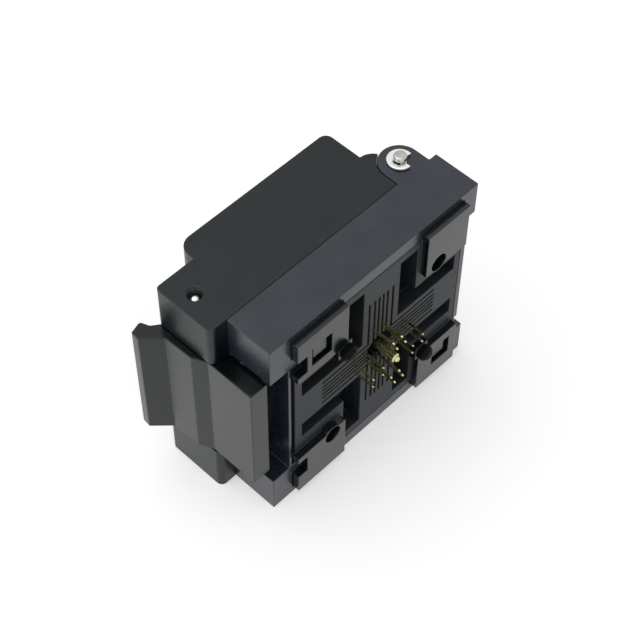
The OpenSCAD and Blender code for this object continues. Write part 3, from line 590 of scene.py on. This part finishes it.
def addRing(values):
    clearPick()
    bpy.ops.mesh.primitive_circle_add(
        vertices=values["steps"], radius=values["outer"], fill_type="NOTHING")
    bpy.ops.object.mode_set(mode="EDIT")
    bpy.ops.mesh.select_all(action="SELECT")
    growInward(values["inner"] / values["outer"])
    pick("edges", lambda edge, middle: underProng(middle, values))
    growInward(values["prong"] / values["inner"])
    pick("faces", lambda face, middle: abs(degrees(atan2(middle.y, middle.x))) < values["open"])
    bpy.ops.mesh.delete(type="FACE")
    bpy.ops.object.mode_set(mode="OBJECT")
    useModifier("SOLIDIFY", {"thickness": values["thick"], "offset": 1.0})
    useModifier("BEVEL", {"width": values["edge"], "segments": values["edgeSteps"],
                          "limit_method": "ANGLE", "angle_limit": radians(values["fold"])})
    bpy.ops.object.mode_set(mode="EDIT")
    bpy.ops.mesh.select_all(action="SELECT")
    bpy.ops.mesh.remove_doubles(threshold=values["merge"])
    bpy.ops.object.mode_set(mode="OBJECT")
    low = min(vert.co.z for vert in bpy.context.object.data.vertices)
    settle(Vector(values["place"]) - Vector((0, 0, low)), (0, 0, radians(values["turn"])))
    finishPiece("retaining_ring_stamped", "base", "ringSteel", ["retaining_ring"])


addRing(ringValues)
print("retaining ring made")


# latch pin: it ends below the face of the lid, with a small dome
latchPinValues = {
    "place": (latchX, latchY, 0), "radius": 0.6 * mm, "sides": 48,
    "half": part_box("latch_pin")[1].z - 0.25 * mm,
    "end": 0.47 * mm, "taper": 0.18 * mm,
    "dome": 0.14 * mm, "domeSteps": ((0.45, 0.75), (0.3, 0.25)),  # shares of the end and the dome
    "smooth": 50}


def domeEnd(values, side):
    # narrows one end of an upright cylinder, then rounds it over
    pick("faces", lambda face, middle: face.normal.z * side > 0.9)
    bpy.ops.mesh.inset(thickness=values["radius"] - values["end"], depth=values["taper"])
    for inset, rise in values["domeSteps"]:
        bpy.ops.mesh.inset(thickness=values["end"] * inset, depth=values["dome"] * rise)


def addLatchPin(values):
    clearPick()
    bpy.ops.mesh.primitive_cylinder_add(
        vertices=values["sides"], radius=values["radius"],
        depth=2 * (values["half"] - values["taper"] - values["dome"]))
    bpy.ops.object.mode_set(mode="EDIT")
    domeEnd(values, 1)
    domeEnd(values, -1)
    bpy.ops.object.mode_set(mode="OBJECT")
    settle(values["place"])
    finishPiece("latch_pin_turned", "lid", "pinSteel", ["latch_pin"],
                values["smooth"])


addLatchPin(latchPinValues)
print("latch pin made")


# locating pegs: thin black skins over the pegs of the plate, with a bevelled nose
pegValues = {
    "places": {side: (place[0], 0, place[2]) for side, place in pegPlaces.items()},
    "radius": 0.962 * mm, "top": -0.002 * mm, "bottom": -1.212 * mm,
    "nose": 0.42 * mm, "noseSlack": 0.02 * mm, "level": 0.0016 * mm,
    "edge": 0.08 * mm, "edgeSteps": 3, "sides": 48}


def addPegs(values):
    bottom, edge = values["bottom"], values["edge"]
    depth = values["top"] - bottom
    clearPick()
    bpy.ops.mesh.primitive_cylinder_add(
        vertices=values["sides"], radius=values["radius"], depth=depth,
        location=(0, bottom + depth / 2, 0), rotation=(pi / 2, 0, 0))
    settleHere()
    bpy.ops.object.mode_set(mode="EDIT")
    pick("edges", lambda item, middle: all(
        abs(vert.co.y - bottom) < edge for vert in item.verts))
    bpy.ops.mesh.bevel(offset=values["nose"], segments=1)
    # the rings of edges at both ends of the slope
    noseTop = bottom + values["nose"] + values["noseSlack"]
    pick("edges", lambda item, middle: middle.y < noseTop
         and abs(item.verts[0].co.y - item.verts[1].co.y) < values["level"]
         and item.calc_length() < values["radius"])
    bpy.ops.mesh.bevel(offset=edge, segments=values["edgeSteps"])
    bpy.ops.object.mode_set(mode="OBJECT")
    pegs = copyTo(list(values["places"].values()))
    for side, peg in zip(values["places"], pegs):
        pickPiece(peg)
        finishPiece("locating_peg_" + side, "base", "pegRubber")


addPegs(pegValues)
print("pegs made")


# screw holes: a short moulded tube closes each one where it reaches past its pad
rimValues = {
    "places": {"right": (screwReach, 0, screwReach), "left": (-screwReach, 0, -screwReach)},
    "inner": 1.15 * mm, "wall": 0.12 * mm, "top": 0.9 * mm, "bottom": 0.005 * mm,
    "edge": 0.03 * mm, "edgeSteps": 2, "fold": 40, "sides": 56}


def addHoleRims(values):
    clearPick()
    bpy.ops.mesh.primitive_circle_add(
        vertices=values["sides"], radius=values["inner"], fill_type="NOTHING",
        location=(0, values["bottom"], 0), rotation=(-pi / 2, 0, 0))
    settleHere()
    bpy.ops.object.mode_set(mode="EDIT")
    bpy.ops.mesh.select_all(action="SELECT")
    bpy.ops.mesh.extrude_edges_move()
    bpy.ops.transform.translate(value=(0, values["top"] - values["bottom"], 0))
    bpy.ops.mesh.select_all(action="SELECT")
    bpy.ops.mesh.normals_make_consistent(inside=True)
    bpy.ops.object.mode_set(mode="OBJECT")
    useModifier("SOLIDIFY", {"thickness": values["wall"], "offset": -1.0})
    useModifier("BEVEL", {"width": values["edge"], "segments": values["edgeSteps"],
                          "limit_method": "ANGLE", "angle_limit": radians(values["fold"])})
    rims = copyTo(list(values["places"].values()))
    for side, rim in zip(values["places"], rims):
        pickPiece(rim)
        finishPiece("screw_hole_rim_" + side, "base", "plateResin")


addHoleRims(rimValues)
print("hole rims made")


# wound springs: the hinge and latch springs have legs, the others push between flat ends
legSpringValues = {
    "hinge_spring_left": {
        "place": (hingeX, hingeY, 1.0 * mm), "coil": 1.05 * mm, "wire": 0.25 * mm,
        "turns": 5.5, "rise": 0.62 * mm, "from": 90, "body": "base",
        "startLeg": ((-0.8, 1.05), (-2.2, 1.05)),
        "endLeg": ((0.55, -1.12), (0.95, -1.3), (1.65, -1.95))},
    "latch_spring": {
        "place": (latchX, latchY, -1.56 * mm), "coil": 0.81 * mm, "wire": 0.18 * mm,
        "turns": 6.5, "rise": 0.48 * mm, "from": 180, "body": "lid",
        "startLeg": ((-0.84, 0.4), (-1.15, 1.1), (-1.3, 1.8)),
        "endLeg": ((0.84, 0.35), (1.05, 0.9), (1.45, 1.25), (2.6, 1.3))},
}
pushSpringValues = {
    "nest_springs": {
        "spots": (7.2, 7.2), "low": 3.7, "high": 6.05, "coil": 0.68 * mm, "wire": 0.13 * mm,
        "turns": 3.5, "body": "base", "joint": "nest_slide", "keep": 0.83, "anchor": 3.7},
    "ground_spring": {
        "spots": (0, 0), "low": 1.5, "high": 4.0, "coil": 0.3 * mm, "wire": 0.06 * mm,
        "turns": 7.0, "body": "base", "joint": "plunger_slide", "keep": 0.84, "anchor": 1.5},
    "pusher_springs": {
        "spots": (4.6, 5.6), "low": 12.4, "high": 15.59, "coil": 1.05 * mm, "wire": 0.2 * mm,
        "turns": 4.0, "body": "lid", "joint": "pusher_slide", "keep": 0.843, "anchor": 15.59},
}
windValues = {"wireSides": 12, "stepsPerTurn": 28, "endSlack": 1.02, "smooth": 60}


def windCoil(values, height):
    # a round section swept by the Screw modifier
    clearPick()
    bpy.ops.mesh.primitive_circle_add(
        vertices=windValues["wireSides"], radius=values["wire"], fill_type="NOTHING",
        location=(values["coil"], 0, 0), rotation=(pi / 2, 0, 0))
    settleHere()
    steps = int(values["turns"] * windValues["stepsPerTurn"])
    useModifier("SCREW", {
        "axis": "Z", "angle": 2 * pi * values["turns"], "screw_offset": height,
        "steps": steps, "render_steps": steps, "use_normal_calculate": False})


def onCoil(values, angle, level):
    return Vector((values["coil"] * cos(angle), values["coil"] * sin(angle), level))


def pickWireEnd(spot, wire):
    pick("verts", lambda vert, middle: (vert.co - spot).length < wire * windValues["endSlack"])
    bpy.ops.mesh.select_mode(type="EDGE")


def runLeg(points, spot, heading, wire):
    # carries the open end of the wire on from point to point, square to its way
    pickWireEnd(spot, wire)
    corners = [Vector((point[0] * mm, point[1] * mm, spot.z)) for point in points]
    for index, target in enumerate(corners):
        way = target - spot
        facing = way
        if index + 1 < len(corners):
            facing = way.normalized() + (corners[index + 1] - target).normalized()
        angle = atan2(facing.y, facing.x) - atan2(heading.y, heading.x)
        bpy.ops.mesh.extrude_edges_move()
        bpy.ops.transform.translate(value=way)
        bpy.ops.transform.rotate(value=-((angle + pi) % (2 * pi) - pi), orient_axis="Z",
                                 center_override=target)
        spot, heading = target, facing
    bpy.ops.mesh.edge_face_add()


def addLegSpring(values):
    height = values["rise"] * values["turns"]
    windCoil(values, height)
    settle((0, 0, 0), (0, 0, radians(values["from"])))
    bpy.ops.object.mode_set(mode="EDIT")
    first = radians(values["from"])
    last = first + 2 * pi * values["turns"]
    ends = ((first, 0.0, values["startLeg"], -1), (last, height, values["endLeg"], 1))
    for angle, level, points, way in ends:
        heading = Vector((-sin(angle) * way, cos(angle) * way, 0))
        runLeg(points, onCoil(values, angle, level), heading, values["wire"])
    bpy.ops.object.mode_set(mode="OBJECT")
    settle(values["place"])


def addPushSprings(values):
    height = (values["high"] - values["low"]) * mm - 2 * values["wire"]
    windCoil(values, height)
    bpy.ops.object.mode_set(mode="EDIT")
    for angle, level in ((0, 0.0), (2 * pi * values["turns"], height)):
        pickWireEnd(onCoil(values, angle, level), values["wire"])
        bpy.ops.mesh.edge_face_add()
    bpy.ops.object.mode_set(mode="OBJECT")
    settle((0, 0, 0), (-pi / 2, 0, 0))
    base = values["low"] * mm + values["wire"]
    across, along = values["spots"]
    joinPieces(copyTo([(x * mm, base, z * mm) for x in sorted({-across, across})
                       for z in sorted({-along, along})]))


def finishSpring(name, body):
    return finishPiece(name + "_wound", body, "springWire", [name],
                       windValues["smooth"])


for name, values in legSpringValues.items():
    addLegSpring(values)
    finishSpring(name, values["body"])
pickPiece(bpy.data.objects["hinge_spring_left_wound"])
bpy.ops.object.duplicate(linked=False)
bpy.ops.transform.mirror(constraint_axis=(False, False, True), center_override=(0, 0, 0))
settleHere()
finishSpring("hinge_spring_right", "base")
for name, values in pushSpringValues.items():
    addPushSprings(values)
    coils = finishSpring(name, values["body"])
    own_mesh(coils)
print("springs wound")


# floor, light and background
stageValues = {
    "size": 4.0, "drop": 0.01 * mm, "floorColor": (0.86, 0.86, 0.865, 1), "roughness": 0.9,
    "specular": 0.1, "glow": 0.46, "air": 0.42}


def seenDirectly(tree, *rays):
    # 1 for what the camera and the named rays see
    path = tree.nodes.new("ShaderNodeLightPath")
    seen = path.outputs["Is Camera Ray"]
    for ray in rays:
        seen = doMath(tree, "MAXIMUM", seen, path.outputs[ray])
    return seen


def addStage(values):
    clearPick()
    bpy.ops.mesh.primitive_plane_add(
        size=values["size"], location=(0, 0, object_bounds()[0].z - values["drop"]))
    floor = bpy.context.object
    floor.name = "floor"
    material, tree, shader = startMaterial("paleFloor", values["floorColor"])
    shader.inputs["Base Color"].default_value = values["floorColor"]
    shader.inputs["Roughness"].default_value = values["roughness"]
    shader.inputs["Specular IOR Level"].default_value = values["specular"]
    shader.inputs["Emission Color"].default_value = (1, 1, 1, 1)
    seen = seenDirectly(tree, "Is Glossy Ray")
    glow = doMath(tree, "MULTIPLY", seen, values["glow"])
    tree.links.new(glow, shader.inputs["Emission Strength"])
    floor.data.materials.append(material)
    floor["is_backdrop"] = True


def addAir(values):
    # the background is plain white to the eye and gives a softer light of its own
    world = bpy.data.worlds.new("studio")
    bpy.context.scene.world = world
    world.use_nodes = True
    tree = world.node_tree
    air = tree.nodes["Background"]
    air.inputs["Color"].default_value = (1, 1, 1, 1)
    seen = seenDirectly(tree, "Is Glossy Ray", "Is Transmission Ray")
    strength = doMath(tree, "MULTIPLY_ADD", seen, 1.0 - values["air"], values["air"])
    tree.links.new(strength, air.inputs["Strength"])


lampValues = {
    "over": {"place": (-0.05, 0.1, 0.32), "size": 0.3, "power": 0.36},
    "front": {"place": (-0.12, -0.3, 0.12), "size": 0.22, "power": 0.14},
    "left": {"place": (-0.32, 0.04, 0.1), "size": 0.2, "power": 0.12},
}


def addLamps(lamps):
    # each lamp faces the origin
    for name, values in lamps.items():
        data = bpy.data.lights.new(name, "AREA")
        data.size = values["size"]
        data.energy = values["power"]
        lamp = bpy.data.objects.new(name, data)
        bpy.context.scene.collection.objects.link(lamp)
        lamp.location = values["place"]
        lamp.rotation_mode = "QUATERNION"
        lamp.rotation_quaternion = Vector(values["place"]).to_track_quat("Z", "Y")


addStage(stageValues)
addAir(stageValues)
addLamps(lampValues)
bpy.context.scene.view_settings.view_transform = "Standard"
print("stage and lamps placed")
